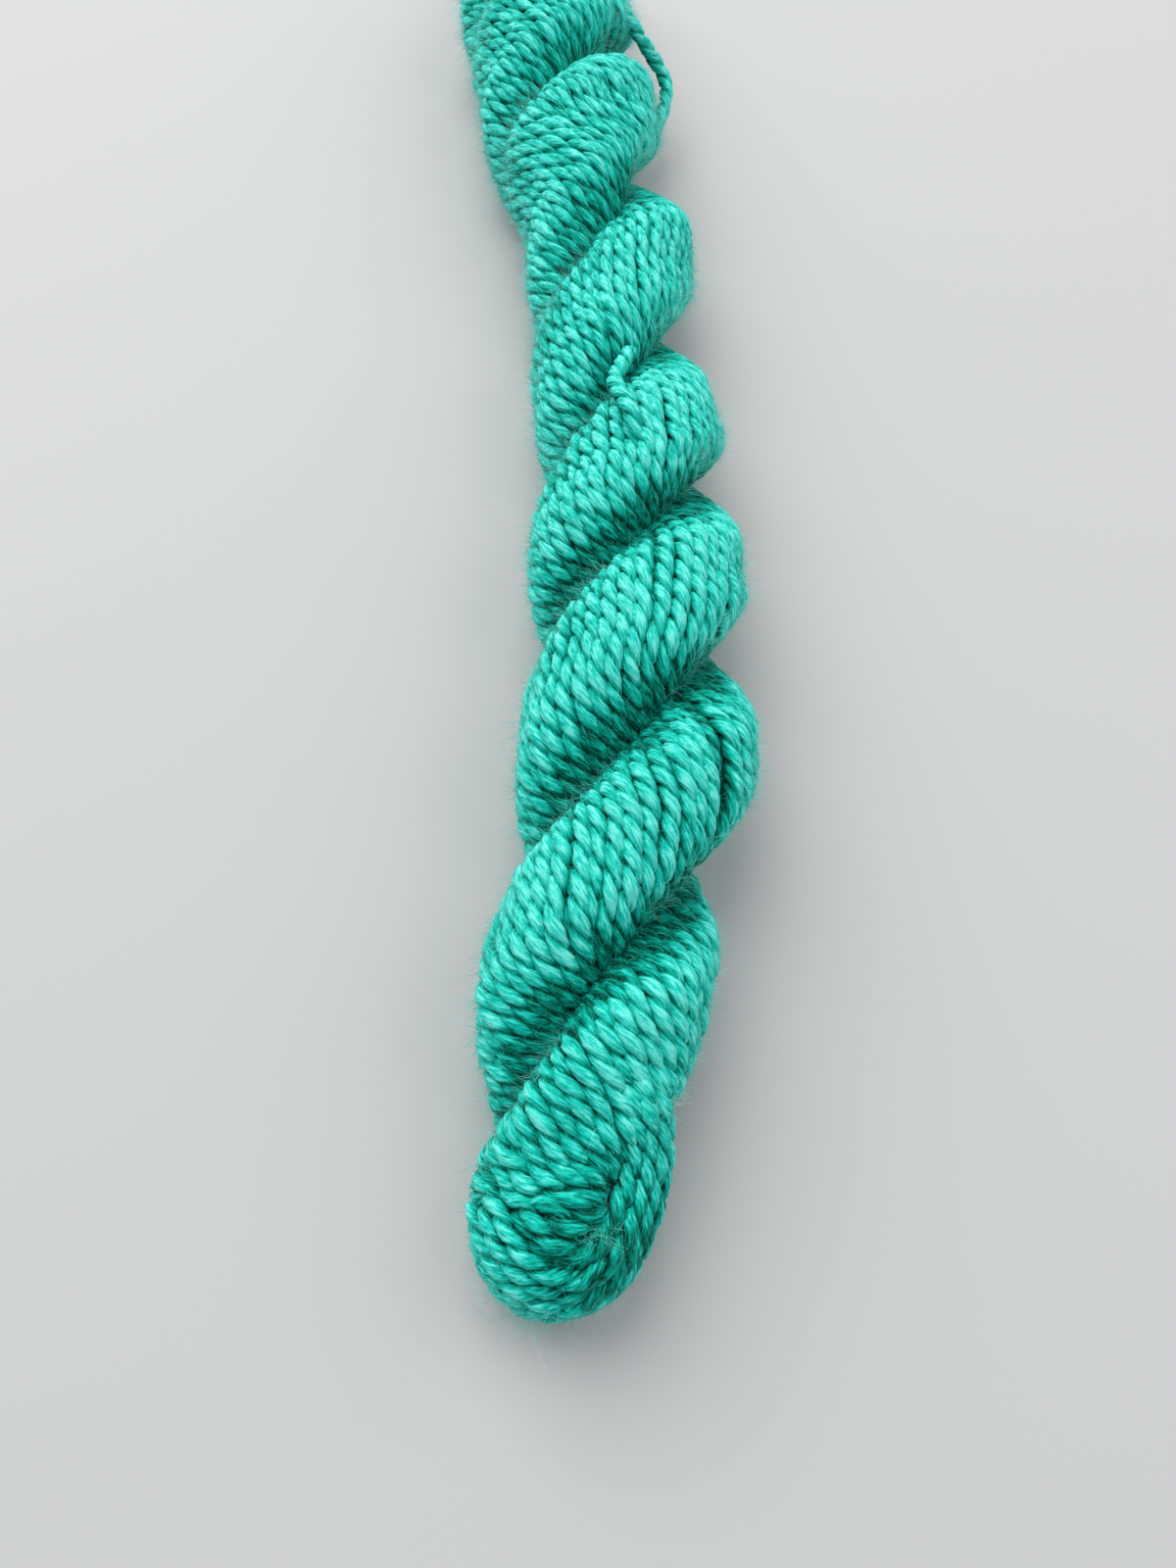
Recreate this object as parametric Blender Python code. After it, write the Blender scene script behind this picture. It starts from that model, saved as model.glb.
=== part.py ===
"""A small hank of yarn, twisted on itself, folded in half and plied back like a rope.

One length of two-ply yarn is wound on a reel into a loop, the loop is twisted, and
its halves are let wrap round each other. What lies on the table is a rope of two
bundles of yarn with a fold at each end. The yarn is one piece, so the hank is one
solid: both bundles, their twist, the lengthwise groove between them and the folds.

Units are metres, Z is up. The hank lies along Y, the near fold at -Y, and the
origin is the middle of its box, on the surface that it rests on.
"""

from collections import namedtuple

import bpy
import numpy as np

MM = 0.001

# Driving dimensions
RESTING_SQUASH = 0.87       # the soft rope sags to this share of its round height
FLAT_DEPTH = 0.9 * MM       # how far each lobe presses flat where it rests
CORE_SHARE = 0.44           # from the rope's middle to a bundle's middle, of the reach
RING_POINTS = 40            # points round each cross section
RING_STEP = 2.9 * MM        # distance between cross sections along the rope
FOLD_RINGS = 7              # cross sections round each folded end
FULLNESS = 2.2              # power of a bundle's section: 2 is an ellipse, more is fuller

YARN_COLOUR = (0.026, 0.418, 0.319, 1.0)

# The rope, a row for every quarter turn from the near fold to the far one, in mm:
# along   distance from the tip of the near fold
# middle  how far the rope's middle line lies to the right of the near fold's edge
# turns   half turns of the twist so far: whole where the bundles lie side by side
# reach   from the middle line to the outside of a bundle
# breadth half the breadth of a bundle, across the line between the two
Station = namedtuple("Station", "along middle turns reach breadth")
STATIONS = (
    Station(0.0, 9.8, 0.22, 11.0, 10.0),
    Station(13.5, 10.2, 0.25, 11.2, 10.2),
    Station(23.5, 12.2, 0.52, 13.2, 10.2),
    Station(41.0, 14.3, 1.0, 15.8, 11.2),
    Station(58.5, 17.8, 1.5, 16.6, 11.6),
    Station(77.0, 20.8, 2.0, 17.6, 12.2),
    Station(94.5, 21.4, 2.5, 17.2, 12.4),
    Station(111.0, 21.2, 3.0, 17.0, 12.2),
    Station(128.0, 21.6, 3.5, 16.2, 11.8),
    Station(144.5, 20.0, 4.0, 15.4, 11.4),
    Station(161.5, 17.8, 4.5, 15.0, 11.2),
    Station(182.0, 18.2, 5.0, 15.4, 12.0),
    Station(201.0, 11.6, 5.5, 16.4, 13.0),
    Station(218.5, 10.2, 6.0, 17.2, 13.8),
    Station(235.0, 7.0, 6.5, 17.4, 14.2),
    Station(251.0, 5.0, 7.0, 17.2, 13.6),
    Station(268.0, 4.6, 7.7, 15.4, 12.4),
    Station(283.0, 4.6, 7.7, 15.4, 12.4),
)
NEAR_FOLD = STATIONS[1].along * MM      # where the near fold opens into two bundles
FAR_FOLD = STATIONS[-2].along * MM      # and where the far one does
LENGTH = STATIONS[-1].along * MM


def smooth_column(name, along):
    """A column of the table at a distance along the rope, eased without overshoot."""
    knots = np.array([row.along * MM for row in STATIONS])
    values = np.array([getattr(row, name) for row in STATIONS])
    steps = np.diff(knots)
    slopes = np.diff(values) / steps
    tangents = np.zeros(len(knots))
    for i in range(1, len(knots) - 1):
        before, after = slopes[i - 1], slopes[i]
        if before * after > 0:
            w_before = 2 * steps[i] + steps[i - 1]
            w_after = steps[i] + 2 * steps[i - 1]
            tangents[i] = (w_before + w_after) / (w_before / before + w_after / after)
    i = int(np.clip(np.searchsorted(knots, along) - 1, 0, len(knots) - 2))
    t = np.clip((along - knots[i]) / steps[i], 0.0, 1.0)
    return float(
        (1 + 2 * t) * (1 - t) ** 2 * values[i]
        + t * (1 - t) ** 2 * steps[i] * tangents[i]
        + t * t * (3 - 2 * t) * values[i + 1]
        + t * t * (t - 1) * steps[i] * tangents[i + 1]
    )


def section_radius(angle, reach, breadth, into_fold):
    """Distance from the middle line to the skin, at an angle from the bundles' line.

    The two bundles are one soft tube that turns back on itself at each fold, so a
    section is where a plane cuts that ring, into_fold of the way (0 to 1) round it.
    """
    offset = CORE_SHARE * reach
    half_depth = reach - offset
    inside, outside = 0.0, 2.0 * reach
    radii = np.linspace(inside, outside, 400)
    across = np.hypot(radii * np.cos(angle), into_fold * reach)
    height = radii * np.sin(angle)
    depth_share = np.abs(across - offset) / half_depth
    breadth_share = np.abs(height) / breadth
    filled = depth_share ** FULLNESS + breadth_share ** FULLNESS <= 1.0
    if not filled.any():
        return 0.0
    return float(radii[np.nonzero(filled)[0][-1]])


def ring(along):
    """One closed cross section of the hank, as points in the plane across the rope."""
    reach = smooth_column("reach", along) * MM
    breadth = smooth_column("breadth", along) * MM
    middle = smooth_column("middle", along) * MM
    turn = np.pi * (1.0 - smooth_column("turns", along))
    into_near = 1.0 - along / NEAR_FOLD
    into_far = (along - FAR_FOLD) / (LENGTH - FAR_FOLD)
    into_fold = max(into_near, into_far, 0.0)
    rest_height = max(reach, breadth) * RESTING_SQUASH - FLAT_DEPTH
    points = []
    for k in range(RING_POINTS):
        angle = 2 * np.pi * k / RING_POINTS
        radius = section_radius(angle, reach, breadth, into_fold)
        x = middle + radius * np.cos(angle + turn)
        z = rest_height + radius * np.sin(angle + turn) * RESTING_SQUASH
        points.append((x, along, max(z, 0.0)))
    return points


def ring_places():
    """Distances along the rope at which it is cut: closer together round the folds."""
    ease = 1.0 - np.cos(np.linspace(0.0, np.pi / 2, FOLD_RINGS + 1))
    near = NEAR_FOLD * ease[1:]
    far = LENGTH - (LENGTH - FAR_FOLD) * ease[:0:-1]
    count = int(round((FAR_FOLD - NEAR_FOLD) / RING_STEP))
    between = np.linspace(NEAR_FOLD, FAR_FOLD, count + 1)[1:-1]
    return [float(place) for place in (*near, *between, *far)]


def tip(along):
    """The point that closes the hank at a fold's tip."""
    reach = smooth_column("reach", along) * MM
    height = reach * RESTING_SQUASH - FLAT_DEPTH
    return (smooth_column("middle", along) * MM, along, height)


def hank_mesh():
    """Loft the cross sections into one closed skin and stand it on the origin."""
    rings = [ring(place) for place in ring_places()]
    points = [tip(0.0)] + [point for one in rings for point in one] + [tip(LENGTH)]
    last = len(points) - 1
    faces = []
    for k in range(RING_POINTS):
        after = (k + 1) % RING_POINTS
        faces.append((0, 1 + k, 1 + after))
        base = 1 + (len(rings) - 1) * RING_POINTS
        faces.append((last, base + after, base + k))
        for row in range(len(rings) - 1):
            here = 1 + row * RING_POINTS
            there = here + RING_POINTS
            faces.append((here + k, there + k, there + after, here + after))
    points = np.array(points)
    box_middle = (points.min(axis=0) + points.max(axis=0)) / 2
    points[:, :2] -= box_middle[:2]
    mesh = bpy.data.meshes.new("hank")
    mesh.from_pydata(points.tolist(), [], faces)
    mesh.shade_smooth()
    return mesh


def yarn_material():
    """Silky, matt green yarn."""
    material = bpy.data.materials.new("yarn")
    material.use_nodes = True
    shader = material.node_tree.nodes["Principled BSDF"]
    shader.inputs["Base Color"].default_value = YARN_COLOUR
    shader.inputs["Roughness"].default_value = 0.6
    shader.inputs["Metallic"].default_value = 0.0
    return material


def clear_scene():
    for thing in list(bpy.data.objects):
        bpy.data.objects.remove(thing, do_unlink=True)


def main():
    clear_scene()
    collection = bpy.data.collections.new("yarn_hank")
    bpy.context.scene.collection.children.link(collection)
    hank = bpy.data.objects.new("hank", hank_mesh())
    hank.data.materials.append(yarn_material())
    collection.objects.link(hank)


main()
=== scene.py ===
# %% [markdown]
# # A twisted hank of yarn
# The solid model of the hank is a smooth twisted form. This script dresses it: it lays
# real strands of two-ply yarn along the same twist, gives them fibres, fuzz and a silky
# finish, and puts the hank on a plain pale floor in soft light. It works in mm, beside
# the tip of the near fold, and turns that into metres in the hank's frame at the end.

# %% The frame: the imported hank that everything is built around
import math
from collections import namedtuple

import bpy
import numpy as np
from mathutils import Matrix, Vector


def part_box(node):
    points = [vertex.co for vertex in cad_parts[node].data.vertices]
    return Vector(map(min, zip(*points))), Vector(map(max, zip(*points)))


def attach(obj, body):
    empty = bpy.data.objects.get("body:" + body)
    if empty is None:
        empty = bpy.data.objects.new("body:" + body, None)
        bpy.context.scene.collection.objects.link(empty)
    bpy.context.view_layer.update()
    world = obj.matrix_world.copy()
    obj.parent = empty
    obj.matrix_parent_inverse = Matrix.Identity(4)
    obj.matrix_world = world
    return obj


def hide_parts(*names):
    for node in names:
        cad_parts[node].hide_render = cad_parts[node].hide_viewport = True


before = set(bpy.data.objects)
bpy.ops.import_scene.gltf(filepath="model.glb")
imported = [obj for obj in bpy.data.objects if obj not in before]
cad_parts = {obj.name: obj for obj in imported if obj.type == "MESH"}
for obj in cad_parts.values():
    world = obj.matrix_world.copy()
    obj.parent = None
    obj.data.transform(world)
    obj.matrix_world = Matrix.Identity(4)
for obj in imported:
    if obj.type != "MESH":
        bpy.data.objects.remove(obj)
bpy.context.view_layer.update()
box_low, box_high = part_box("hank")
MM = 0.001
print("hank box, mm:", [round(side / MM, 1) for side in box_high - box_low])

# %% [markdown]
# ## The rope's shape
# A hank is a loop of yarn that is twisted, folded in half and let wrap round itself. The
# table holds the rope's middle line, its half turns and the size of its two bundles, a
# row for every quarter turn. These are the sizes that the solid hank was made from.

# %% The table of the twist, in mm
COLUMNS = ("along", "middle", "turns", "reach", "breadth")
STATIONS = np.array((
    (0.0, 9.8, 0.22, 11.0, 10.0),
    (13.5, 10.2, 0.25, 11.2, 10.2),
    (23.5, 12.2, 0.52, 13.2, 10.2),
    (41.0, 14.3, 1.0, 15.8, 11.2),
    (58.5, 17.8, 1.5, 16.6, 11.6),
    (77.0, 20.8, 2.0, 17.6, 12.2),
    (94.5, 21.4, 2.5, 17.2, 12.4),
    (111.0, 21.2, 3.0, 17.0, 12.2),
    (128.0, 21.6, 3.5, 16.2, 11.8),
    (144.5, 20.0, 4.0, 15.4, 11.4),
    (161.5, 17.8, 4.5, 15.0, 11.2),
    (182.0, 18.2, 5.0, 15.4, 12.0),
    (201.0, 11.6, 5.5, 16.4, 13.0),
    (218.5, 10.2, 6.0, 17.2, 13.8),
    (235.0, 7.0, 6.5, 17.4, 14.2),
    (251.0, 5.0, 7.0, 17.2, 13.6),
    (268.0, 4.6, 7.7, 15.4, 12.4),
    (283.0, 4.6, 7.7, 15.4, 12.4),
))
RESTING_SQUASH = 0.87                        # the rope sags to this share of its round height
FLAT_DEPTH = 0.9                             # mm that each lobe presses flat where it rests
CORE_SHARE = 0.44                            # from the rope's middle to a bundle's, of the reach
FULLNESS = 2.2                               # power of a bundle's section: 2 is an ellipse
NEAR_FOLD, FAR_FOLD, LENGTH = STATIONS[1, 0], STATIONS[-2, 0], STATIONS[-1, 0]
print("rope:", len(STATIONS), "stations along", LENGTH, "mm")


# %% Reading the table between its rows
def eased_tangents(values):
    """Slopes at the table's rows that carry the curve through without overshoot."""
    knots = STATIONS[:, 0]
    steps = np.diff(knots)
    slopes = np.diff(values) / steps
    tangents = np.zeros(len(knots))
    for i in range(1, len(knots) - 1):
        before, after = slopes[i - 1], slopes[i]
        if before * after > 0:
            w_before = 2 * steps[i] + steps[i - 1]
            w_after = steps[i] + 2 * steps[i - 1]
            tangents[i] = (w_before + w_after) / (w_before / before + w_after / after)
    return tangents


TANGENTS = {name: eased_tangents(STATIONS[:, i]) for i, name in enumerate(COLUMNS)}


def column(name, along):
    """A column of the table at distances along the rope."""
    knots, values = STATIONS[:, 0], STATIONS[:, COLUMNS.index(name)]
    i = np.clip(np.searchsorted(knots, along) - 1, 0, len(knots) - 2)
    step = knots[i + 1] - knots[i]
    t = np.clip((along - knots[i]) / step, 0.0, 1.0)
    slope = TANGENTS[name]
    return (
        (1 + 2 * t) * (1 - t) ** 2 * values[i]
        + t * (1 - t) ** 2 * step * slope[i]
        + t * t * (3 - 2 * t) * values[i + 1]
        + t * t * (t - 1) * step * slope[i + 1]
    )


# %% [markdown]
# ## Once round the loop
# One bundle runs from the far fold to the near one, turns round and comes back as the
# other bundle. A place on the hank's skin is then two numbers: how far round the loop,
# and the angle round the bundle. This function turns them into a point in space.

# %% From loop place and bundle angle to a point
FOLD_TURN = 14.0                             # mm of loop spent in each fold
RUN = FAR_FOLD - NEAR_FOLD
LOOP = 2 * (RUN + FOLD_TURN)


def on_bundle(place, angle, inset):
    """Points under the hank's skin, in mm from the near tip; inset is their depth."""
    place = np.mod(place, LOOP)
    back = place - RUN - FOLD_TURN
    near_turn = np.clip((place - RUN) / FOLD_TURN, 0.0, 1.0)
    far_turn = np.clip((back - RUN) / FOLD_TURN, 0.0, 1.0)
    heading = math.pi * (near_turn + far_turn)
    going = np.clip(FAR_FOLD - place, NEAR_FOLD, FAR_FOLD)
    coming = np.clip(NEAR_FOLD + back, NEAR_FOLD, FAR_FOLD)
    along = np.where(back < 0, going, coming)
    reach, breadth = column("reach", along), column("breadth", along)
    offset = CORE_SHARE * reach
    half_out, half_side = reach - offset - inset, breadth - inset
    c, s = np.cos(angle) * np.sqrt(half_out), np.sin(angle) * np.sqrt(half_side)
    filled = (np.abs(c) / half_out) ** FULLNESS + (np.abs(s) / half_side) ** FULLNESS
    far = filled ** (-1 / FULLNESS)
    out, side = offset + far * c, far * s
    fold_length = np.where(along < LENGTH / 2, NEAR_FOLD, LENGTH - FAR_FOLD)
    y = along - out * np.sin(heading) * fold_length / reach
    turn = math.pi * (1.0 - column("turns", y))
    across = out * np.cos(heading)
    x = column("middle", y) + across * np.cos(turn) - side * np.sin(turn)
    height = np.maximum(reach, breadth) * RESTING_SQUASH - FLAT_DEPTH
    z = height + (across * np.sin(turn) + side * np.cos(turn)) * RESTING_SQUASH
    return np.stack([x, y, z], axis=-1)


# %% From mm beside the near tip to metres in the hank's frame
SKIN_ANGLES = 91                             # points round the bundle when the skin is measured

places, angles = np.meshgrid(np.arange(0, LOOP, 1.0), np.linspace(0, 2 * math.pi, SKIN_ANGLES))
skin = on_bundle(places, angles, 0.0)
SHIFT = np.array((box_low.x / MM - skin[..., 0].min(), box_low.y / MM, 0.0))
print("skin box, mm:", (skin.reshape(-1, 3).max(0) - skin.reshape(-1, 3).min(0)).round(1))


def to_metres(points):
    """Points moved into the hank's own frame, in metres."""
    return (points + SHIFT) * MM


# %% [markdown]
# ## The camera
# The view is from just above the near fold, looking along the hank. A camera in Blender
# is placed by a matrix whose columns are its right, up and backward directions, so three
# directions and a place are all that it needs.

# %% The camera
CAMERA_PLACE = (0.0, -1.75, 167.9)           # mm to the right, along the hank and up
CAMERA_RIGHT = Vector((0.9964, -0.0045, 0.0841))
CAMERA_UP = Vector((-0.0318, 0.9043, 0.4257))
LENS_MM = 27.0
LONG_SENSOR_SIDE_MM = 36.0
NEAREST_SEEN = 0.005                         # metres

backward = CAMERA_RIGHT.cross(CAMERA_UP).normalized()
camera_up = backward.cross(CAMERA_RIGHT).normalized()
camera_data = bpy.data.cameras.new("camera")
camera_data.lens = LENS_MM
camera_data.sensor_width = LONG_SENSOR_SIDE_MM
camera_data.clip_start = NEAREST_SEEN
camera = bpy.data.objects.new("camera", camera_data)
bpy.context.scene.collection.objects.link(camera)
facing = Matrix((CAMERA_RIGHT.normalized(), camera_up, backward)).transposed().to_4x4()
camera.matrix_world = Matrix.Translation(to_metres(np.array(CAMERA_PLACE))) @ facing
bpy.context.scene.camera = camera
print("camera:", CAMERA_PLACE[2], "mm above the floor, with a lens of", LENS_MM, "mm")

# %% [markdown]
# ## Winding the yarn
# The yarn is one long path that goes round the loop many times. Each time round it lies
# beside the last one, and the whole bundle is twisted, so the path also circles the
# bundle. How often it circles changes along the hank, and a little between the two
# bundles, so each has its own column.

# %% The yarn's path, as laps round the loop
YARN = 2.9                                   # thickness of the two-ply yarn, mm
STRANDS = 32                                 # turns of yarn in a bundle's outer layer
TWIST = np.array((                           # mm along, circles per 100 mm in each bundle
    (0.0, 3.8, 3.8), (17.0, 4.0, 4.1), (30.0, 3.2, 3.3),
    (50.0, 2.3, 2.3), (62.0, 2.15, 2.75), (85.0, 2.1, 2.3),
    (125.0, 2.2, 2.3), (157.0, 2.3, 2.3), (175.0, 1.6, 2.3),
    (200.0, 2.3, 2.8), (235.0, 2.8, 2.9), (283.0, 2.7, 2.7),
))
PATH_STEP = 0.4                              # mm between samples of the path

sample = np.arange(0, STRANDS * LOOP, PATH_STEP)
lap = np.floor(sample / LOOP)
loop_place = sample - lap * LOOP
grid = np.arange(0, LOOP + 1.0, 1.0)
middle_of_fold = RUN + FOLD_TURN / 2
from_near = np.abs(grid - middle_of_fold) + NEAR_FOLD - FOLD_TURN / 2
first_twist, second_twist = (np.interp(from_near, TWIST[:, 0], TWIST[:, k]) for k in (1, 2))
tightness = np.where(grid < middle_of_fold, first_twist, second_twist) / 100
wound = np.concatenate([[0.0], np.cumsum((tightness[1:] + tightness[:-1]) / 2)])
circles_per_lap = round(np.interp(LOOP, grid, wound)) + 1.0 / STRANDS
wound *= circles_per_lap / np.interp(LOOP, grid, wound)
circled = lap * circles_per_lap + np.interp(loop_place, grid, wound)
angle = -2 * math.pi * circled
print("circles round the bundle in one turn of the hank:", round(circles_per_lap, 2))

# %% [markdown]
# ## Room for every strand
# Where the bundle is thin or the twist is tight there is no room for all the strands to
# lie side by side. On a real hank some of them then slip under their neighbours. The
# golden ratio picks which ones, spread evenly, and the others share out the room.

# %% The room that each strand has
LITTLE_WAY, LITTLE_TURN = 0.1, 0.01          # mm and radians, to measure directions with
spacing_angle = 2 * math.pi / STRANDS


def smooth_step(low, high, value):
    """From 0 at low to 1 at high, with soft ends."""
    t = np.clip((value - low) / (high - low), 0.0, 1.0)
    return t * t * (3 - 2 * t)


def strand_room(places):
    """Width of skin that each strand has, square to it, averaged over the outer side."""
    at, around = np.meshgrid(places, np.radians(np.arange(-90, 91, 10)), indexing="ij")
    here = on_bundle(at, around, YARN / 2)
    turned = np.interp(at + LITTLE_WAY, grid, wound) - np.interp(at, grid, wound)
    forward = on_bundle(at + LITTLE_WAY, around - 2 * math.pi * turned, YARN / 2) - here
    forward /= np.linalg.norm(forward, axis=-1)[..., None]
    to_side = on_bundle(at, around + LITTLE_TURN, YARN / 2) - here
    beside = to_side * spacing_angle / LITTLE_TURN
    return np.linalg.norm(np.cross(forward, beside), axis=-1).mean(axis=1)


room = strand_room(np.minimum(grid, LOOP - 2 * LITTLE_WAY))
print("room for a strand, mm:", np.percentile(room, (2, 25, 50, 75, 98)).round(2))

# %% Which strands lie on top
SIDE_BY_SIDE = (2.3, 1.9)                    # mm between strands in the open, near and far
SLIMMING = (100.0, 170.0)                    # mm along the hank where that changes
FEWEST_SHOWING = 0.34                        # share of the strands
LAP_JOIN = (2.0, 26.0)                       # mm from the laps' join where all show again
GOLDEN = 0.618034
SOFT_EDGE = 0.07                             # over which a strand goes from top to sunk
SUNK_SHARE = 0.12                            # room that a sunk strand still takes

showing = np.clip(room / np.interp(from_near, SLIMMING, SIDE_BY_SIDE), FEWEST_SHOWING, 1.0)
showing += (1 - showing) * (1 - smooth_step(*LAP_JOIN, np.minimum(grid, LOOP - grid)))
rank = np.mod(np.arange(STRANDS) * GOLDEN, 1.0)
raised = 1.0 - smooth_step(-SOFT_EDGE, SOFT_EDGE, rank[:, None] - showing[None, :])
share = SUNK_SHARE + (1 - SUNK_SHARE) * raised
order = (np.cumsum(share, axis=0) - share / 2) / share.sum(axis=0)
moved = order - (np.arange(STRANDS)[:, None] + 0.5) / STRANDS
print("strands on top, of", STRANDS, ":", np.percentile(raised.sum(axis=0), (2, 50, 98)).round(1))


def of_strand(by_lap_and_place):
    """Reads a table of strand by loop place for every sample of the path."""
    low = loop_place.astype(int)
    part = loop_place - low
    rows = lap.astype(int)
    return by_lap_and_place[rows, low] * (1 - part) + by_lap_and_place[rows, low + 1] * part


# %% [markdown]
# ## Nothing lies like wire
# Hand-wound yarn is never even. Slow waves push whole groups of strands to and fro, each
# strand wanders a little by itself, and here and there two neighbours part and leave a
# dark furrow. A parting is a bump in the angle that follows the strands' own line.

# %% Waves
chance = np.random.default_rng(7)


def loop_waves(count, longest, shortest, turns):
    """Waves over the skin that join up with themselves round the loop and the bundle."""
    total = np.zeros_like(sample)
    for _ in range(count):
        length = chance.uniform(shortest, longest)
        along = round(LOOP / length)
        around = chance.integers(-turns, turns + 1)
        phase = chance.uniform(0, 2 * math.pi)
        total += np.cos(2 * math.pi * along * loop_place / LOOP + around * angle + phase)
    return total / math.sqrt(count / 2)


def own_waves(knot_spacing):
    """A strand's own slow wandering, the same at every run."""
    knots = np.arange(0, STRANDS * LOOP + knot_spacing, knot_spacing)
    values = chance.normal(0, 1, len(knots))
    values[-1] = values[0]
    t = sample / knot_spacing
    i = np.clip(t.astype(int), 0, len(knots) - 2)
    f = t - i
    f = f * f * (3 - 2 * f)
    return values[i] * (1 - f) + values[i + 1] * f


# %% Partings
PARTING_WIDTH = 1.3 * spacing_angle
RANDOM_PARTINGS = 24
PARTING_MARGIN = 20                          # mm, clear of the laps' join
PARTING_LENGTHS = (4, 11)                    # half lengths, mm
PARTING_SIZES = (0.05, 0.2)                  # as shares of the strands' spacing
MAIN_PARTING = (326.0, -19.0, 17.0, 1.00)    # loop place mm, degrees, half length mm, size


def parted(place, degrees, half_length, size):
    """How far strands turn aside, in radians, to leave one furrow between two of them."""
    line = math.radians(degrees) - 2 * math.pi * (
        np.interp(loop_place, grid, wound) - np.interp(place, grid, wound)
    )
    beside = np.mod(angle - line + math.pi, 2 * math.pi) - math.pi
    beside /= PARTING_WIDTH
    near = np.exp(-(((loop_place - place) / half_length) ** 2))
    return size * spacing_angle * near * beside * np.exp(0.5 - beside**2 / 2)


partings = [MAIN_PARTING]
for _ in range(RANDOM_PARTINGS):
    partings.append((
        chance.uniform(PARTING_MARGIN, LOOP - PARTING_MARGIN),
        chance.uniform(-180, 180),
        chance.uniform(*PARTING_LENGTHS),
        chance.uniform(*PARTING_SIZES),
    ))
print("partings:", len(partings))

# %% The path's angle round the bundle
SHARED_DRIFT, OWN_DRIFT = 0.14, 0.13         # to and fro, as shares of the strands' spacing

shared = SHARED_DRIFT * loop_waves(count=14, longest=60, shortest=18, turns=2)
angle_drift = spacing_angle * (shared + OWN_DRIFT * own_waves(12.0))
angle_drift -= 2 * math.pi * of_strand(moved)
for parting in partings:
    angle_drift += parted(*parting)
print("sideways drift, in strands:", round(float(angle_drift.std() / spacing_angle), 2))

# %% The path's depth, and the path in space
SUNK_DEPTH = 1.5                             # mm that a crowded strand sinks
SHARED_SINK, OWN_SINK = 0.13, 0.15           # in and out, mm
SINK_LIMITS = (-0.5, 2.0)                    # mm
PROUD = 0.1                                  # mm that the yarn stands over the solid's skin
LOWEST_MIDDLE = YARN * 0.36                  # the floor flattens the turns on it a little

sink = SHARED_SINK * loop_waves(count=18, longest=50, shortest=14, turns=5)
sink += OWN_SINK * own_waves(10.0)
sink += SUNK_DEPTH * (1 - of_strand(raised))
inset = YARN * 0.5 - PROUD + np.clip(sink, *SINK_LIMITS)
path = on_bundle(loop_place, angle + angle_drift, inset)
path[:, 2] = np.maximum(path[:, 2], LOWEST_MIDDLE)
travelled = np.concatenate([[0.0], np.cumsum(np.linalg.norm(np.diff(path, axis=0), axis=1))])
print("outer yarn, m:", round(travelled[-1] * MM, 1))

# %% The yarn's thickness, its plies' slack, and directions on the path
UNEVENNESS = 0.07                            # share by which the thickness wanders
FAR_THINNER = 0.13                           # share by which the far yarn is thinner
PLY_SLACK = 0.5                              # radians by which the plies wander
STEP_INWARD = 0.8                            # mm, to measure the outward direction with

far_share = smooth_step(*SLIMMING, np.interp(loop_place, grid, from_near))
thickness = 1.0 + UNEVENNESS * own_waves(7.0) - FAR_THINNER * far_share
ply_slack = PLY_SLACK * own_waves(16.0)
outward = path - on_bundle(loop_place, angle + angle_drift, inset + STEP_INWARD)
outward /= np.linalg.norm(outward, axis=1)[:, None]
onward = np.gradient(path, axis=0)
onward /= np.linalg.norm(onward, axis=1)[:, None]
inner_side = np.abs(np.mod(angle + math.pi, 2 * math.pi) - math.pi)
print("thickness, mm:", (YARN * np.percentile(thickness, (2, 50, 98))).round(2))

# %% [markdown]
# ## Two plies
# The yarn is two singles twisted round each other. Its cross section is like a figure
# eight, and it turns as it goes along, which draws the slanted grains. A curve object
# does just that: a bevel shape for the section and a tilt for each point.

# %% The bevel shape of two plies
PLIES = 2
PLY_POINTS = 5                               # points on each ply, between two seams
PLY_OFFSET = 0.46                            # all three as shares of the yarn's half width
PLY_DEPTH = 0.54
PLY_BREADTH = 0.84


def bevel_shape(name, outline):
    """A closed flat curve for use as a bevel."""
    curve = bpy.data.curves.new(name, "CURVE")
    curve.dimensions = "2D"
    spline = curve.splines.new("POLY")
    spline.points.add(len(outline) - 1)
    for point, (x, y) in zip(spline.points, outline):
        point.co = (x, y, 0, 1)
    spline.use_cyclic_u = True
    shape = bpy.data.objects.new(name, curve)
    bpy.context.scene.collection.objects.link(shape)
    return shape


seam_angle = math.acos(-PLY_OFFSET / PLY_DEPTH)
seam_half_width = PLY_BREADTH * math.sin(seam_angle)
ply_outline = []
for side in (1, -1):
    ply_outline.append((0.0, -side * seam_half_width / 2))
    for k in range(1, PLY_POINTS + 1):
        a = seam_angle * (2 * k / (PLY_POINTS + 1) - 1)
        across, up = PLY_OFFSET + PLY_DEPTH * math.cos(a), PLY_BREADTH * math.sin(a)
        ply_outline.append((side * across / 2, side * up / 2))
ply_section = bevel_shape("ply_section", ply_outline)
print("ply section:", len(ply_outline), "points")

# %% [markdown]
# ## Sweeping yarn along a path
# All the runs of one piece are splines of one curve object, which Blender turns into a
# mesh. Its own map says how far along and round each spline a face lies. Here that
# becomes turns round the yarn and mm along it, so the fibres of a material can follow
# the plies. A second number, the depth under the hank's skin, goes on every vertex. The
# material uses it for painted shade, darker where yarn lies deep between its neighbours.

# %% Runs of yarn as one curve object
Run = namedtuple("Run", "points thickness turn start outward depth")


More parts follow.
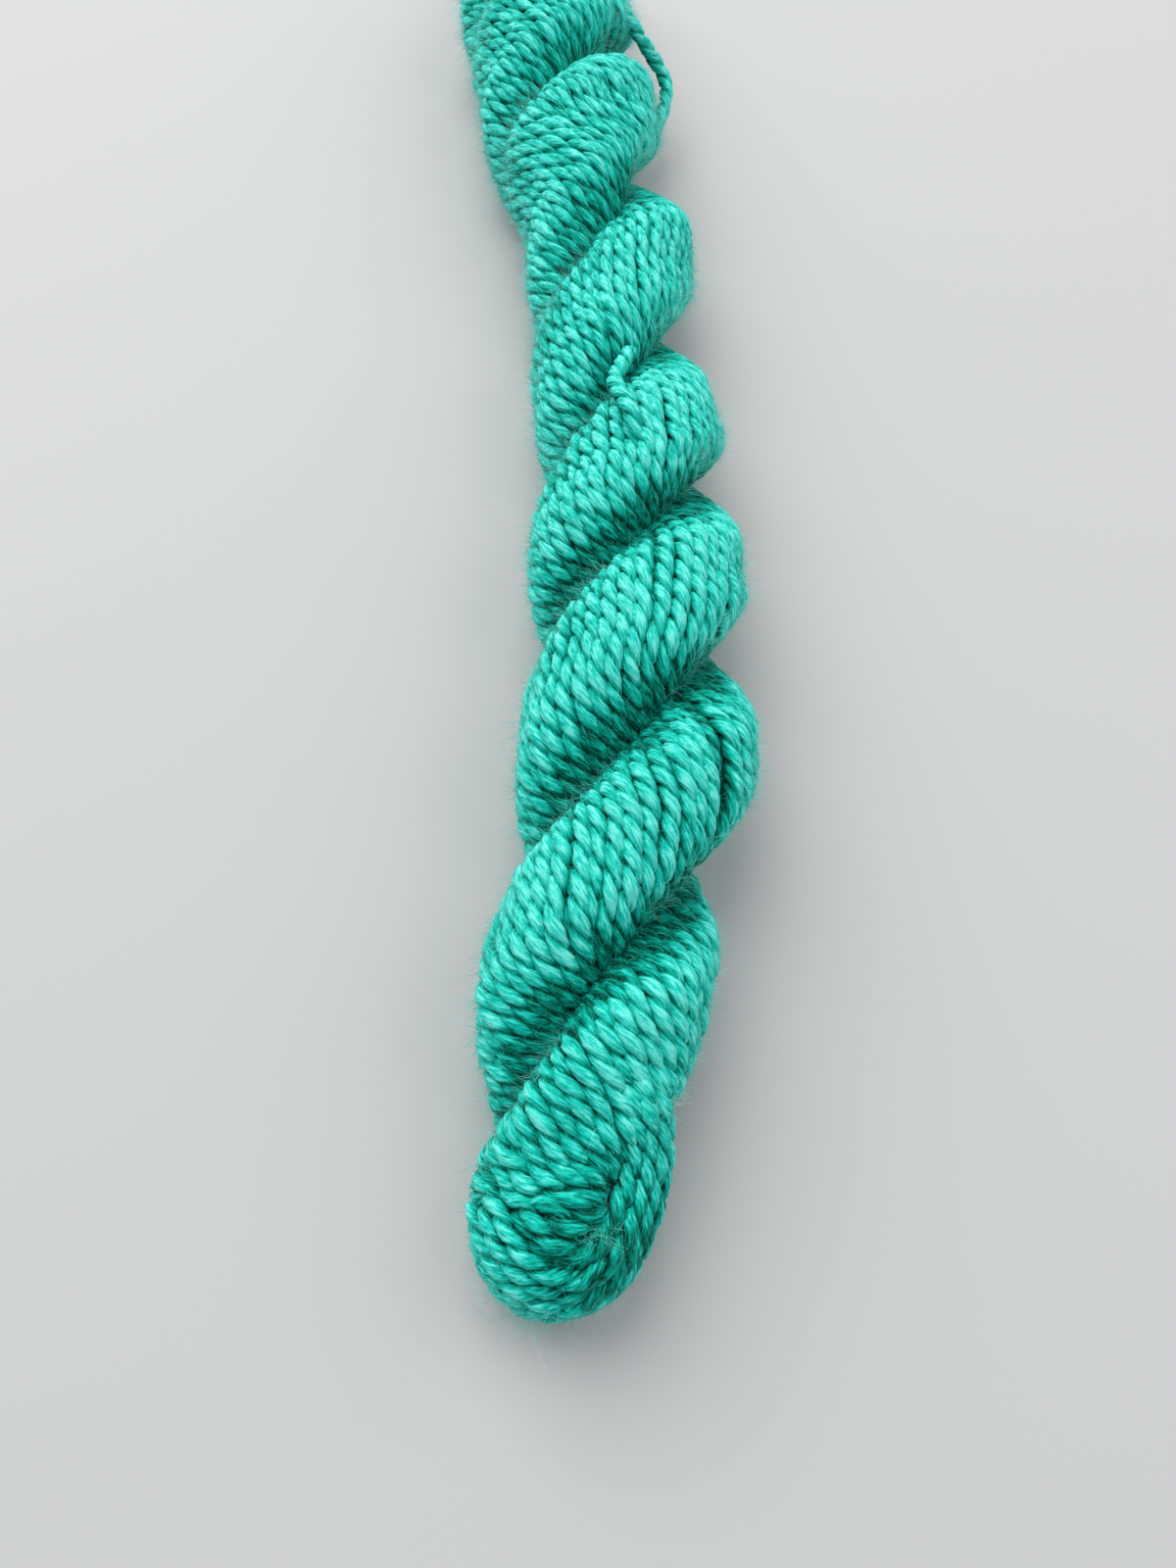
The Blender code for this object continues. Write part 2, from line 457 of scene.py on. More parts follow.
def yarn_curve(name, runs, shape):
    """A curve object with one spline for each run and the yarn's section as its bevel."""
    curve = bpy.data.curves.new(name, "CURVE")
    curve.dimensions = "3D"
    curve.twist_mode = "MINIMUM"
    curve.bevel_mode = "OBJECT"
    curve.bevel_object = shape
    curve.use_fill_caps = True
    for run in runs:
        spline = curve.splines.new("POLY")
        spline.points.add(len(run.points) - 1)
        flat = np.column_stack([to_metres(run.points), np.ones(len(run.points))])
        spline.points.foreach_set("co", flat.ravel())
        spline.points.foreach_set("radius", run.thickness * MM)
        spline.points.foreach_set("tilt", run.turn)
    piece = bpy.data.objects.new(name, curve)
    bpy.context.scene.collection.objects.link(piece)
    return piece


# %% Reading a mesh's numbers
def numbers(items, name, width, kind=np.float32):
    """All the values of one property, as an array."""
    values = np.empty(len(items) * width, kind)
    items.foreach_get(name, values)
    return values.reshape(-1, width) if width > 1 else values


def triangle_count(mesh):
    """How many triangles the mesh's faces make."""
    return int((numbers(mesh.polygons, "loop_total", 1, np.int32) - 2).sum())


# %% The map along the yarn, and the depth under the skin for painted shade
def map_by_length(mesh, runs, sides):
    """U becomes turns round the yarn, V mm along it, and each vertex learns its depth for painted
    shade.
    """
    layer = mesh.uv_layers[0].data
    values = numbers(layer, "uv", 2)
    corners = numbers(mesh.polygons, "loop_total", 1, np.int32)
    of_tube = np.repeat(corners == 4, corners)
    sizes = [(len(run.points) - 1) * sides * 4 for run in runs]
    lengths = [np.linalg.norm(np.diff(run.points, axis=0), axis=1).sum() for run in runs]
    start = np.repeat([run.start for run in runs], sizes)
    length = np.repeat(lengths, sizes)
    last = np.repeat([len(run.points) - 1 for run in runs], sizes)
    first = np.repeat(np.cumsum([0] + [len(run.points) for run in runs[:-1]]), sizes)
    tube = values[of_tube]
    ring = first + np.rint(tube[:, 0] * last).astype(int)
    vertex = numbers(mesh.loops, "vertex_index", 1, np.int32)[of_tube]
    centre = to_metres(np.concatenate([run.points for run in runs]))[ring]
    out = np.concatenate([run.outward for run in runs])[ring]
    under = np.concatenate([run.depth for run in runs])[ring]
    place = numbers(mesh.vertices, "co", 3)[vertex]
    depth = np.zeros(len(mesh.vertices))
    depth[vertex] = under - ((place - centre) * out).sum(axis=1) / MM
    mesh.attributes.new("depth_mm", "FLOAT", "POINT").data.foreach_set("value", depth)
    values[of_tube] = np.column_stack([tube[:, 1], start + tube[:, 0] * length])
    values[~of_tube] = (0.5 / PLIES, 0.0)       # end caps are coloured as a ply's middle
    layer.foreach_set("uv", values.ravel())


def keep_above_floor(mesh):
    """Nothing hangs below the floor: the lowest turns are pressed flat on it."""
    place = numbers(mesh.vertices, "co", 3)
    place[:, 2] = np.maximum(place[:, 2], 0.0)
    mesh.vertices.foreach_set("co", place.ravel())


# %% From runs of yarn to a finished piece
WELD = 0.0000005                             # metres: it closes the tubes' ends


def laid_yarn(name, runs, shape):
    """The runs as one closed mesh, with its map, its depths and its flat underside."""
    piece = yarn_curve(name, runs, shape)
    bpy.ops.object.select_all(action="DESELECT")
    piece.select_set(True)
    bpy.context.view_layer.objects.active = piece
    bpy.ops.object.convert(target="MESH")
    piece = bpy.context.view_layer.objects.active
    piece.name = name
    mesh = piece.data
    map_by_length(mesh, runs, len(shape.data.splines[0].points))
    keep_above_floor(mesh)
    bpy.ops.object.mode_set(mode="EDIT")
    bpy.ops.mesh.select_all(action="SELECT")
    bpy.ops.mesh.remove_doubles(threshold=WELD)
    bpy.ops.object.mode_set(mode="OBJECT")
    mesh.shade_smooth()
    print(name, ":", len(runs), "runs,", triangle_count(mesh), "triangles")
    return piece


# %% [markdown]
# ## Only what can be seen
# A strand that circles the bundle also passes between the two bundles, where nobody sees
# it. The path is cut there, with both ends well inside, which leaves the mesh lighter.
# Shade is painted into the yarn where the bundles meet and where the near fold closes in:
# there it counts as deeper than the solid's skin makes it, so its colour is darker.

# %% Extra depth in the hollow of the near fold, for painted shade
FOLD_HOLLOW = np.array((13.0, 8.5, 19.0))    # mm
# how far the painted shade of the hollow reaches, and how deep it counts
HOLLOW_REACH, HOLLOW_SHADE_DEPTH = 9.5, 1.4        # mm


def hollow_shade(points):
    """Extra depth, mm, for points near the middle of the hollow: painted shade."""
    away = np.linalg.norm(points - FOLD_HOLLOW, axis=1) / HOLLOW_REACH
    return HOLLOW_SHADE_DEPTH * np.exp(-away**2)


# %% The turns of the plies
PLY_PITCH = 7.2                              # mm of yarn for a full turn of the plies
FAR_LOOSER = 0.25                            # share by which the far plies turn more slowly

pitch = PLY_PITCH * (1 + FAR_LOOSER * far_share)
ply_turns = np.concatenate([[0.0], np.cumsum(np.diff(travelled) / pitch[1:])])
print("turns of the plies:", round(float(ply_turns[-1])))

# %% The runs that show
YARN_STEP = 1.0                              # mm between the rings of the mesh
SHORTEST_RUN = 3 * YARN_STEP
FEWEST_STEPS = 4
HIDDEN_SIDE = math.radians(152)              # measured from the bundle's outer side
GROOVE_SIDE = math.radians(76), math.radians(124)    # where a strand enters the groove
# the extra depth where the bundles meet is painted shade
GROOVE_SHADE_DEPTH = (1.9, 1.0)                    # mm more where the bundles meet, near and far


def shown_runs(first_lap, last_lap):
    """The stretches of some laps that can be seen, with all that laid_yarn wants to know."""
    shown = (inner_side < HIDDEN_SIDE) & (lap >= first_lap) & (lap < last_lap)
    edges = np.flatnonzero(np.diff(np.concatenate([[0], shown.astype(int), [0]])))
    groove_shade = smooth_step(*GROOVE_SIDE, inner_side)
    groove_shade *= np.interp(far_share, (0, 1), GROOVE_SHADE_DEPTH)
    runs = []
    for start, end in zip(edges[::2], edges[1::2]):
        span = travelled[end - 1] - travelled[start]
        if span < SHORTEST_RUN:
            continue
        count = max(int(round(span / YARN_STEP)), FEWEST_STEPS)
        s = np.linspace(travelled[start], travelled[end - 1], count + 1)
        pick = np.interp(s, travelled, np.arange(len(travelled))).round().astype(int)
        runs.append(Run(
            points=np.stack([np.interp(s, travelled, path[:, i]) for i in range(3)], axis=1),
            thickness=YARN * np.interp(s, travelled, thickness),
            turn=np.interp(s, travelled, ply_slack - 2 * math.pi * ply_turns),
            start=s[0],
            outward=outward[pick],
            # inset is the real depth; the groove and the hollow add painted shade
            depth=(inset + groove_shade + hollow_shade(path))[pick],
        ))
    return runs


# %% The turns of yarn, as four pieces
PIECES = 4

per_piece = STRANDS // PIECES
yarn_pieces = []
for k in range(PIECES):
    runs = shown_runs(k * per_piece, (k + 1) * per_piece)
    yarn_pieces.append(laid_yarn(f"yarn_turns_{k + 1}", runs, ply_section))

# %% [markdown]
# ## Turns that stray
# Near the far end one turn hangs out of the hank in a small loop, and further down a
# strand climbs out of the groove before it joins its neighbours. Four more slip over the
# side of the near fold. Each is a short list of points in mm, with a smooth curve through
# them.

# %% The loose loop and the strand that climbs
LOOSE_LOOP = (
    (17.4, 243.0, 20.5), (19.4, 240.0, 22.3), (22.2, 237.2, 20.8), (25.4, 236.2, 17.4),
    (28.1, 235.7, 14.2), (30.0, 234.2, 12.2), (30.5, 231.0, 11.2), (30.1, 228.0, 10.6),
    (29.2, 224.7, 10.0), (27.8, 221.4, 9.5), (25.5, 218.2, 9.2),
)
CLIMBING_STRAND = (
    (20.2, 149.0, 19.5), (19.7, 146.7, 22.4), (18.0, 141.7, 23.9), (17.0, 138.2, 25.0),
    (17.5, 134.5, 26.6), (18.6, 130.7, 27.9), (19.6, 127.2, 27.6), (20.6, 123.5, 25.4),
    (21.2, 120.5, 22.5),
)
print("points:", len(LOOSE_LOOP), "and", len(CLIMBING_STRAND))

# %% The strands over the side of the near fold
FOLD_STRANDS = (
    (
        (20.3, 32.5, 18.3), (21.4, 29.5, 19.9), (21.9, 26.0, 19.0), (22.1, 22.5, 17.0),
        (21.8, 19.0, 15.3), (21.1, 15.5, 14.3), (19.8, 11.8, 14.1), (18.2, 8.2, 14.3),
        (16.0, 5.0, 14.2), (13.4, 2.9, 13.2), (10.8, 2.2, 11.6),
    ),
    (
        (18.0, 30.5, 19.6), (19.2, 27.5, 20.9), (19.9, 24.5, 19.9), (20.3, 21.5, 18.0),
        (20.2, 18.3, 16.3), (19.5, 15.0, 15.5), (18.4, 11.7, 15.5), (16.9, 8.6, 15.9),
        (14.8, 6.2, 16.3), (12.3, 4.8, 16.1), (10.0, 4.6, 14.6),
    ),
    (
        (16.6, 28.5, 19.6), (17.4, 26.6, 20.6), (18.2, 24.2, 20.2), (18.7, 21.2, 18.6),
        (18.4, 18.2, 17.0), (17.6, 15.2, 16.2), (16.4, 12.2, 16.3), (14.9, 9.4, 16.9),
        (12.8, 7.4, 17.1), (10.4, 6.6, 15.6),
    ),
    (
        (22.2, 27.5, 14.5), (22.9, 24.0, 14.6), (23.1, 20.5, 12.9), (22.6, 16.5, 11.7),
        (21.4, 12.5, 11.6), (19.6, 8.8, 11.7), (17.3, 5.4, 11.6), (14.6, 3.0, 11.0),
        (11.8, 2.2, 9.8),
    ),
)
print("strands over the fold:", len(FOLD_STRANDS))

# %% A smooth run through the points
FINE_STEPS = 12                              # between two of the points


def through(points):
    """A smooth run of yarn through given points, which it meets one by one."""
    p = np.array(points)
    p = np.vstack([2 * p[0] - p[1], p, 2 * p[-1] - p[-2]])
    t = np.linspace(0, 1, FINE_STEPS, endpoint=False)[:, None]
    bits = []
    for a, b, c, d in zip(p, p[1:], p[2:], p[3:]):
        cubed = 3 * (b - c) + d - a
        squared = 2 * a - 5 * b + 4 * c - d + t * cubed
        bits.append(b + 0.5 * t * (c - a + t * squared))
    fine = np.vstack([*bits, p[-2:-1]])
    s = np.concatenate([[0.0], np.cumsum(np.linalg.norm(np.diff(fine, axis=0), axis=1))])
    even = np.linspace(0, s[-1], int(s[-1] / YARN_STEP) + 1)
    return np.stack([np.interp(even, s, fine[:, i]) for i in range(3)], axis=1), even


# %% The stray turns
ROPE_MIDDLE = np.array((20.0, 0.0, 12.0))    # mm; its place along the hank does not matter
FREE_DEPTH = 0.4                             # mm, for yarn with nothing beside it to shade it
STRAY_THICKNESS = 0.98                       # of the yarn's own
STRAY_UNEVENNESS = 0.05
START_GAP = 40.0                             # mm between the strays' starts on the yarn


def stray_run(points, start):
    """One stray turn, as a run for laid_yarn."""
    laid, s = through(points)
    shade = FREE_DEPTH if points is LOOSE_LOOP else YARN * 0.5
    from_rope = (laid - ROPE_MIDDLE) * (1, 0, 1)
    from_rope /= np.linalg.norm(from_rope, axis=1)[:, None]
    return Run(
        points=laid,
        thickness=YARN * (STRAY_THICKNESS + STRAY_UNEVENNESS * np.sin(s * 0.9)),
        turn=-2 * math.pi * (start + s) / PLY_PITCH,
        start=start,
        outward=from_rope,
        depth=shade + hollow_shade(laid),
    )


strays = (LOOSE_LOOP, CLIMBING_STRAND, *FOLD_STRANDS)
stray_runs = [stray_run(points, START_GAP * i) for i, points in enumerate(strays)]
stray = laid_yarn("stray_turns", stray_runs, ply_section)

# %% [markdown]
# ## The inner turns
# Between the strands the eye meets more yarn, deep in the shade. One closed tube, which
# runs through both bundles, stands for it. A torus already has the shape of a loop of
# tube, so its vertices only have to be moved to their places in the hank.

# %% The inner turns
CORE_INSET = 2.3                             # mm under the skin
CORE_ROWS = 179                              # rings round the loop, about 3 mm apart
CORE_SIDES = 24                              # points round the tube

bpy.ops.object.select_all(action="DESELECT")
bpy.ops.mesh.primitive_torus_add(major_segments=CORE_ROWS, minor_segments=CORE_SIDES)
core = bpy.context.active_object
core.name = core.data.name = "inner_turns"
ring, side = np.divmod(np.arange(CORE_ROWS * CORE_SIDES), CORE_SIDES)
core_points = on_bundle(ring * LOOP / CORE_ROWS, side * 2 * math.pi / CORE_SIDES, CORE_INSET)
core.data.vertices.foreach_set("co", to_metres(core_points).ravel())
bpy.ops.object.mode_set(mode="EDIT")
bpy.ops.mesh.select_all(action="SELECT")
bpy.ops.mesh.normals_make_consistent(inside=False)
bpy.ops.object.mode_set(mode="OBJECT")
core.data.shade_smooth()
print("inner turns:", triangle_count(core.data), "triangles")

# %% [markdown]
# ## Loose fibres
# Silky yarn sheds fine hairs. Most lie nearly flat over the plies and blur them, some
# stand out and draw a soft edge round the hank. Tens of thousands are wanted, so they
# are not objects: one array holds the points of all of them, and each becomes a slim
# three-sided spike in a joined mesh.

# %% Fibres as one mesh
HAIR = 0.03                                  # thickness at the root, mm
NOWHERE_NEAR = (0.31, 0.52, 0.79)            # a direction that no fibre quite follows
TAPER = 0.55                                 # thickness before the tip, of the root's
SPIKE_SIDES = 3


def spikes(name, points, thick=HAIR):
    """A mesh of slim closed spikes along rows of points, with the shape (spike, point, 3)."""
    count, length = points.shape[:2]
    go = np.gradient(points, axis=1)
    go /= np.linalg.norm(go, axis=2)[..., None]
    side = np.cross(go, NOWHERE_NEAR)
    side /= np.linalg.norm(side, axis=2)[..., None]
    other = np.cross(go, side)
    width = thick / 2 * np.linspace(1.0, TAPER, length - 1)[:, None]
    rows = []
    for k in range(SPIKE_SIDES):
        a = 2 * math.pi * k / SPIKE_SIDES
        rows.append(points[:, :-1] + width * (side * math.cos(a) + other * math.sin(a))[:, :-1])
    body = np.stack(rows, axis=2).reshape(count, -1, 3)
    vertices = np.concatenate([body, points[:, -1:]], axis=1).reshape(-1, 3)
    one = np.array(spike_faces(length - 1))
    first = (SPIKE_SIDES * (length - 1) + 1) * np.arange(count)
    faces = (one + first[:, None, None]).reshape(-1, 3)
    return joined_mesh(name, vertices, faces, count)


def spike_faces(rings):
    """The triangles of one spike: its root, its sides and the last ring to the tip."""
    faces = [(0, 2, 1)]
    for ring in range(rings - 1):
        for k in range(SPIKE_SIDES):
            a = SPIKE_SIDES * ring + k
            b = SPIKE_SIDES * ring + (k + 1) % SPIKE_SIDES
            faces += [(a, b, b + SPIKE_SIDES), (a, b + SPIKE_SIDES, a + SPIKE_SIDES)]
    last = SPIKE_SIDES * (rings - 1)
    tip = SPIKE_SIDES * rings
    return faces + [(last + k, last + (k + 1) % SPIKE_SIDES, tip) for k in range(SPIKE_SIDES)]


def joined_mesh(name, vertices, faces, count):
    """A mesh object made in one go from arrays of its vertices and triangles."""
    mesh = bpy.data.meshes.new(name)
    mesh.vertices.add(len(vertices))
    mesh.loops.add(faces.size)
    mesh.polygons.add(len(faces))
    mesh.vertices.foreach_set("co", to_metres(vertices).ravel())
    mesh.loops.foreach_set("vertex_index", faces.ravel())
    mesh.polygons.foreach_set("loop_start", np.arange(0, faces.size, 3))
    mesh.update(calc_edges=True)
    mesh.shade_smooth()
    piece = bpy.data.objects.new(name, mesh)
    bpy.context.scene.collection.objects.link(piece)
    print(name, ":", count, "fibres,", len(faces), "triangles")
    return piece


# %% How fibres leave the yarn and bend
SPREAD_ROUND_YARN = 0.8                      # radians to either side of the outermost line
ROOT_HEIGHT = 0.40                           # from the yarn's middle, of its thickness
MOST_RISE = 2.4                              # times the usual rise
ARCH = 2.1                                   # how steeply a fibre starts to rise
FALLS = (0.6, 2.0)                           # from fibres that stand to fibres that come down
BEND = 0.25                                  # sideways, of a fibre's length
CURLS = (0.4, 1.6)                           # times the usual curl
WAVE_RADIANS, WAVE_LENGTH = 7, 3             # a fibre's wave turns so far in so many mm
ANY_PHASE = (0, 6.28)
FLOOR_GAP = 0.05                             # mm


def grown(roots, length, lift, points, curl=0.12, aim=38.0):
    """Fibres that leave the yarn at some samples of its path, as rows of points.

    The length is the least and the most, lift and curl are what is usual, all in mm, and
    aim is how far, in degrees, fibres stray from the yarn's own direction.
    """
    count = len(roots)
    o, t = outward[roots], onward[roots]
    side = np.cross(t, o)
    lean = chance.normal(0, SPREAD_ROUND_YARN, count)
    up = o * np.cos(lean)[:, None] + side * np.sin(lean)[:, None]
    root = path[roots] + up * YARN * ROOT_HEIGHT
    length = chance.uniform(*length, count)[:, None]
    heading = np.radians(chance.normal(0, aim, count)) + math.pi * chance.integers(0, 2, count)
    go = t * np.cos(heading)[:, None] + side * np.sin(heading)[:, None]
    across = np.cross(go, up)[:, None]
    u = np.linspace(0, 1, points)[None]
    rise = np.minimum(chance.gamma(2.0, lift / 2.0, count), MOST_RISE * lift)[:, None]
    fall = chance.uniform(*FALLS, count)[:, None]
    arch = rise * (ARCH * u - fall * u * u)
    bend = chance.normal(0, BEND, count)[:, None] * length * u * u
    wave = curl * chance.uniform(*CURLS, count)[:, None]
    phase = chance.uniform(*ANY_PHASE, count)[:, None]
    bend += wave * np.sin(WAVE_RADIANS * u * length / WAVE_LENGTH + phase)
    made = root[:, None] + go[:, None] * (length * u)[..., None]
    made += up[:, None] * arch[..., None] + across * bend[..., None]
    made[..., 2] = np.maximum(made[..., 2], FLOOR_GAP)
    return made


# %% Where fibres grow
OPEN_SIDE = math.radians(140)                # from the bundle's outer side
FLANK_SLOPE = 0.4                            # how far a flank may face up or down, of 1
GROOVE_LINE, GROOVE_BAND = 106, 16           # degrees from the outer side, and to each side

open_samples = np.flatnonzero((inner_side < OPEN_SIDE) & (of_strand(raised) > 0.5))


def anywhere(count):
    """Roots all over the yarn that shows."""
    return chance.choice(open_samples, count)


def on_flanks(count):
    """Roots on the hank's flanks, where fibres stand out against the floor."""
    flank = open_samples[np.abs(outward[open_samples, 2]) < FLANK_SLOPE]
    return chance.choice(flank, count)


def near_spot(spot, reach, count):
    """Roots within reach of one spot, in mm, for a tuft."""
    close = np.linalg.norm(path[open_samples] - np.array(spot), axis=1) < reach
    return chance.choice(open_samples[close], count)


def by_groove(count):
    """Roots where the two bundles meet."""
    beside = np.flatnonzero(np.abs(np.degrees(inner_side) - GROOVE_LINE) < GROOVE_BAND)
    return chance.choice(beside, count)


# %% The fuzz all over, and the haze at the edges
HAZE_HAIR = 0.034                            # thickness at the root, mm
EDGE_HAIR = 0.05

fibres = [
    spikes("fuzz_soft_1", grown(anywhere(3500), (0.7, 2.4), 0.6, 4, aim=50.0)),
    spikes("fuzz_soft_2", grown(anywhere(9000), (0.7, 2.4), 0.6, 3, aim=50.0)),
    spikes("fuzz_haze_1", grown(anywhere(36000), (0.7, 2.0), 1.2, 2, aim=70.0), HAZE_HAIR),
    spikes("fuzz_haze_2", grown(on_flanks(40000), (0.9, 2.0), 1.7, 2, aim=70.0), EDGE_HAIR),
    spikes("fuzz_long", grown(anywhere(400), (2.5, 6.0), 0.8, 8, curl=0.3, aim=60.0)),
]

# %% Tufts, and the fibres over the grooves
KNOT_SPOT = (13.7, 9.4, 17.2)                # mm, in the hollow of the near fold
END_SPOT = (29.6, 124.3, 23.5)               # on the right of a middle lobe
TUFT_SPOT = (5.0, 3.5, 5.0)                  # low on the left of the near fold

at_knot = grown(near_spot(KNOT_SPOT, 1.8, 70), (1.2, 3.5), 1.6, 8, curl=0.6, aim=90.0)
at_end = grown(near_spot(END_SPOT, 1.7, 60), (1.0, 3.0), 1.2, 8, curl=0.3, aim=90.0)
at_tuft = grown(near_spot(TUFT_SPOT, 4.5, 130), (3.0, 8.0), 2.5, 8, curl=0.8, aim=90.0)
at_groove = grown(by_groove(550), (2.0, 4.5), 0.6, 8, curl=0.5, aim=70.0)
fibres += [
    spikes("fuzz_knot", at_knot),
    spikes("fuzz_end", at_end),
    spikes("fuzz_tuft", at_tuft),
    spikes("fuzz_groove", at_groove),
]

# %% [markdown]
# ## The yarn's finish
# Silky yarn is sea green on its sides, with fine light streaks along the fibres. Shade and
# highlight are painted into its colour: nearly black green in its seams and where it lies
# deep, pale mint on top, and the palest streaks and patches stand in for silky glints. One
# number, the tone, gathers all that: streak noise along the fibres, a slower drift, the seam
# between the plies and the depth under the skin. A colour ramp then turns the tone into the
# yarn's own greens.

# %% Helpers for building materials
def add_node(tree, kind, sockets=(), **settings):
    """A node with its settings; sockets are {name: a value or another node's output}."""
    made = tree.nodes.new(kind)
    for name, value in settings.items():
        setattr(made, name, value)
    for name, value in dict(sockets).items():
        if isinstance(value, bpy.types.NodeSocket):
            tree.links.new(value, made.inputs[name])
        else:
            made.inputs[name].default_value = value
    return made


def maths(tree, operation, *values):
    """The result of one Math node."""
    made = add_node(tree, "ShaderNodeMath", dict(enumerate(values)), operation=operation)
    return made.outputs[0]


def new_finish(name, **plain):
    """A material, its nodes and its shader with some plain values; _ stands for a space."""
    material = bpy.data.materials.new(name)
    material.use_nodes = True
    shader = material.node_tree.nodes["Principled BSDF"]
    for socket, value in plain.items():
        shader.inputs[socket.replace("_", " ")].default_value = value
    return material, material.node_tree, shader


# %% The silky yarn, on the map of its fibres
FIBRE_UNTURN = 0.35                          # how much the fibres are turned back in a ply
GREEN_GLOSS = (0.3, 1.0, 0.9, 1)

yarn_finish, tree, shader = new_finish(
    "silky_yarn", Roughness=0.55, Specular_IOR_Level=0.12, Specular_Tint=GREEN_GLOSS,
    Sheen_Weight=0.03, Sheen_Roughness=0.4, Sheen_Tint=(0.3, 1.0, 0.88, 1),
)
yarn_map = add_node(tree, "ShaderNodeUVMap", uv_map="UVMap").outputs["UV"]
split = add_node(tree, "ShaderNodeSeparateXYZ", {"Vector": yarn_map})
around, along = split.outputs["X"], split.outputs["Y"]
unturned = maths(tree, "MULTIPLY_ADD", along, FIBRE_UNTURN / PLY_PITCH, around)
fibre_map = add_node(tree, "ShaderNodeCombineXYZ", {"X": unturned, "Y": along}).outputs[0]

# %% Streaks along the fibres, and slower patches: fibre tone and painted silky glints
STREAKS = (26.0, 0.6, 1.0)                   # noise round the yarn, and per mm along it
PATCHES = (6.0, 0.2, 1.0)


def fibre_noise(scale, detail, rough):
    """Noise that is stretched along the fibres."""
    placed = add_node(tree, "ShaderNodeMapping", {"Vector": fibre_map, "Scale": scale}).outputs[0]
    made = add_node(tree, "ShaderNodeTexNoise", {
        "Vector": placed, "Scale": 1.0, "Detail": detail, "Roughness": rough,
    })
    return made.outputs["Fac"]


streaks = fibre_noise(STREAKS, 4.0, 0.65)
patches = fibre_noise(PATCHES, 2.0, 0.5)
print("streaks and patches:", len(tree.nodes), "nodes so far")

# %% Painted shade: the seams between the plies, and the depth under the skin
# the seams between the plies are darkened: painted shade
SEAM_END = 0.75                              # of a ply's side: 0 at its seam, 1 at its middle
SHADE_START, SHADE_FULL = 0.1, 1.8           # mm of depth

wave = maths(tree, "SINE", maths(tree, "MULTIPLY", around, PLIES * math.pi))
ply_side = maths(tree, "ABSOLUTE", wave)
painted_seam_shade = add_node(tree, "ShaderNodeMapRange", {
    "Value": ply_side, "From Min": 0.0, "From Max": SEAM_END, "To Min": 1.0, "To Max": 0.0,
}).outputs[0]
# the depth under the skin darkens the yarn: painted shade
depth_mm = add_node(tree, "ShaderNodeAttribute", attribute_name="depth_mm").outputs["Fac"]
deep_shade = add_node(tree, "ShaderNodeMapRange", {
    "Value": depth_mm, "From Min": SHADE_START, "From Max": SHADE_FULL,
}).outputs[0]

# %% From the tone to the greens
TONE_START = -0.295
# streaks and patches lighten the tone: partly the fibres' tone, partly painted silky glints
STREAK_LIGHT, PATCH_LIGHT = 1.7, 0.35
# painted shade from the seams and from the depth
SEAM_SHADE, DEPTH_SHADE = -0.20, -0.42
RELIEF = 0.0002                              # metres, of the fibres on a ply
YARN_GREENS = (                              # tone, colour
    (0.06, (0.0002, 0.030, 0.018)),
    (0.22, (0.0005, 0.120, 0.080)),
    (0.36, (0.0015, 0.260, 0.190)),
    (0.50, (0.0025, 0.420, 0.330)),
    (0.64, (0.0160, 0.560, 0.460)),
    # the palest green is partly a painted highlight, for the silk's glints
    (0.86, (0.1600, 0.760, 0.665)),
)

tone = maths(tree, "MULTIPLY_ADD", streaks, STREAK_LIGHT, TONE_START)
tone = maths(tree, "MULTIPLY_ADD", patches, PATCH_LIGHT, tone)
tone = maths(tree, "MULTIPLY_ADD", painted_seam_shade, SEAM_SHADE, tone)
tone = maths(tree, "MULTIPLY_ADD", deep_shade, DEPTH_SHADE, tone)
greens = add_node(tree, "ShaderNodeValToRGB", {"Fac": tone})
ramp = greens.color_ramp
for _ in range(len(YARN_GREENS) - 2):
    ramp.elements.new(0.5)
for element, (position, colour) in zip(ramp.elements, YARN_GREENS):
    element.position = position
    element.color = (*colour, 1)
tree.links.new(greens.outputs["Color"], shader.inputs["Base Color"])
fine_relief = add_node(tree, "ShaderNodeBump", {
    "Height": streaks, "Strength": 0.5, "Distance": RELIEF,
})
tree.links.new(fine_relief.outputs["Normal"], shader.inputs["Normal"])
print("silky yarn:", len(tree.nodes), "nodes")

# %% [markdown]
# ## The fibres' finishes
# A single fibre has no plies, so a soft mottle of two greens is enough. Fibres that lie
# on the yarn are nearly as green as it is, and those that stand off its edges are paler,
# because light comes through them. Both finishes use the mottle, so it is a node group,
# built once, that takes its colours from each. The inner yarn only needs a dark, dull
# green, as all that shows of it is shade.

# %% The mottle, as a node group
SPOTS_PER_METRE = 260.0
SPOT_EDGES = (0.35, 0.65)                    # of the noise, where dark ends and light starts
MIX_SHARE, MIX_FIRST, MIX_SECOND, MIX_RESULT = 0, 6, 7, 2     # a colour Mix node's sockets


